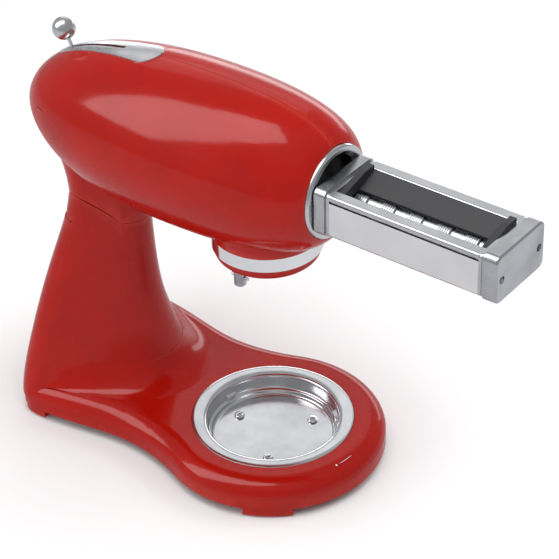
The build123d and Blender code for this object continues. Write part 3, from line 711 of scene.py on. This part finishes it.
# a dot and a fine arc on top of the base; angles are about the bowl's axis
markSizes = {"radius": 98.0, "top": 37.0, "start": -12.8, "end": -3.0, "width": 0.5,
             "rise": 0.12, "root": 0.3, "crown": 0.8, "taper": 0.8, "steps": 24,
             "dotAngle": -15.0, "dot": 1.1, "dotCrown": 0.85, "dotSink": 0.1, "dotThick": 0.5}


def makeLockMark():
    s = markSizes
    bm = bmesh.new()
    rows = []
    for i in range(s["steps"] + 1):
        share = i / s["steps"]
        a = radians(s["start"] + (s["end"] - s["start"]) * share)
        wide = s["width"] / 2 * (1 - (2 * share - 1) ** 4 * s["taper"])
        section = ((-wide, -s["root"]), (-wide * s["crown"], s["rise"]),
                   (wide * s["crown"], s["rise"]), (wide, -s["root"]))
        rows.append([bm.verts.new(((axisShift + (s["radius"] + w) * cos(a)) * mm,
                                   (s["radius"] + w) * mm * sin(a), (s["top"] + h) * mm))
                     for w, h in section])
    ribFaces(bm, rows)
    a = radians(s["dotAngle"])
    place = Matrix.Translation(((axisShift + s["radius"] * cos(a)) * mm,
                                s["radius"] * mm * sin(a), (s["top"] - s["dotSink"]) * mm))
    bmesh.ops.create_cone(bm, cap_ends=True, segments=s["steps"], radius1=s["dot"] * mm,
                          radius2=s["dot"] * s["dotCrown"] * mm, depth=s["dotThick"] * mm,
                          matrix=place)
    mark = meshObject("lockMark", bm, finishes["polished"])
    sharpEdges(mark)
    return finishPiece(mark, "base", "polished")


makeLockMark()
print("lock mark set")


floorSizes = {"half": 6.0, "cloud": 120, "paper": 1.5, "depth": 0.01}


def makeFloor():
    # pale seamless studio board with a faint paper grain
    s = floorSizes
    material, tree, shader, where = startMaterial("paleStudioBoard", **{"Roughness": 0.9})
    tree.links.new(tint(tree, grain(tree, where, s["cloud"]), "#F7F7F7", "#F4F4F4"),
                   shader.inputs["Base Color"])
    press(tree, shader, grain(tree, where, s["paper"]), s["depth"])
    # painted reflection: to glossy rays the board is swapped for a grey card, so polished parts
    # mirror a dimmer floor than the camera sees
    paintedReflectionCard = addNode(tree, "ShaderNodeBsdfDiffuse", {"Color": linear("#CFCFD1")})
    ray = addNode(tree, "ShaderNodeLightPath")
    both = addNode(tree, "ShaderNodeMixShader", links={
        0: ray.outputs["Is Glossy Ray"], 1: shader.outputs[0], 2: paintedReflectionCard.outputs[0]})
    output = [n for n in tree.nodes if n.type == "OUTPUT_MATERIAL"][0]
    tree.links.new(both.outputs[0], output.inputs["Surface"])
    bm = bmesh.new()
    bmesh.ops.create_grid(bm, x_segments=8, y_segments=8, size=s["half"])
    floor = meshObject("studioFloor", bm, material)
    return floor


def areaLight(name, place, aim, width, height, power, shines=True, lights=True):
    # one that doesn't shine only fills shadows; one that doesn't light is only seen in gloss
    light = bpy.data.lights.new(name, "AREA")
    light.shape = "RECTANGLE"
    light.size, light.size_y = width, height
    light.energy = power
    lamp = bpy.data.objects.new(name, light)
    lamp.location = place
    lamp.visible_glossy, lamp.visible_diffuse = shines, lights
    lamp.rotation_euler = (Vector(aim) - Vector(place)).to_track_quat("-Z", "Y").to_euler()
    scene.collection.objects.link(lamp)
    return lamp


makeFloor()

# place, aim, width, height in metres and power in watts
middle = (0.0, 0.0, 0.22)
areaLight("longSoftbox", (-0.85, -0.72, 1.82), (0, 0, 0.33), 0.95, 2.8, 38, lights=False)
areaLight("farStrip", (-0.9, 2.0, 0.45), (0, 0, 0.3), 2.4, 0.45, 9)
areaLight("backPanel", (-1.3, 1.75, 1.75), (0, 0, 0), 1.9, 1.0, 3.6)
areaLight("topFill", (0.4, -0.5, 2.8), middle, 2.6, 2.6, 55, shines=False)
areaLight("leftFill", (-1.2, -2.6, 0.9), middle, 2.6, 1.4, 24, shines=False)
areaLight("floorFill", (1.2, 1.4, 2.4), (0.2, 0.3, 0), 2.0, 2.0, 26, shines=False)
print("lights hung")

room = {"colour": "#F2F3F5", "strength": 0.46}


def makeRoom():
    world = bpy.data.worlds.new("studioRoom")
    scene.world = world
    world.use_nodes = True
    tree = world.node_tree
    tree.nodes.clear()
    sky = addNode(tree, "ShaderNodeBackground",
                  {"Color": linear(room["colour"]), "Strength": room["strength"]})
    addNode(tree, "ShaderNodeOutputWorld", links={0: sky.outputs[0]})


makeRoom()

cameraSizes = {"target": (0.01338, 0.0, 0.20445), "distance": 2.09409,
               "right": (0.79998, 0.59966, -0.02083), "up": (-0.33122, 0.47032, 0.81798),
               "back": (0.50032, -0.64747, 0.57486), "lens": 144.73, "sensor": 36.0,
               "near": 0.05, "far": 50.0}


def makeCamera():
    s = cameraSizes
    data = bpy.data.cameras.new("productCamera")
    data.lens = s["lens"]
    data.sensor_width = s["sensor"]
    data.clip_start, data.clip_end = s["near"], s["far"]
    camera = bpy.data.objects.new("productCamera", data)
    turn = Matrix((s["right"], s["up"], s["back"])).transposed()
    place = Vector(s["target"]) + Vector(s["back"]) * s["distance"]
    camera.matrix_world = Matrix.Translation(place) @ turn.to_4x4()
    scene.collection.objects.link(camera)
    scene.camera = camera


makeCamera()
scene.view_settings.view_transform = "Standard"
print("stage and camera ready")

bpy.context.view_layer.update()
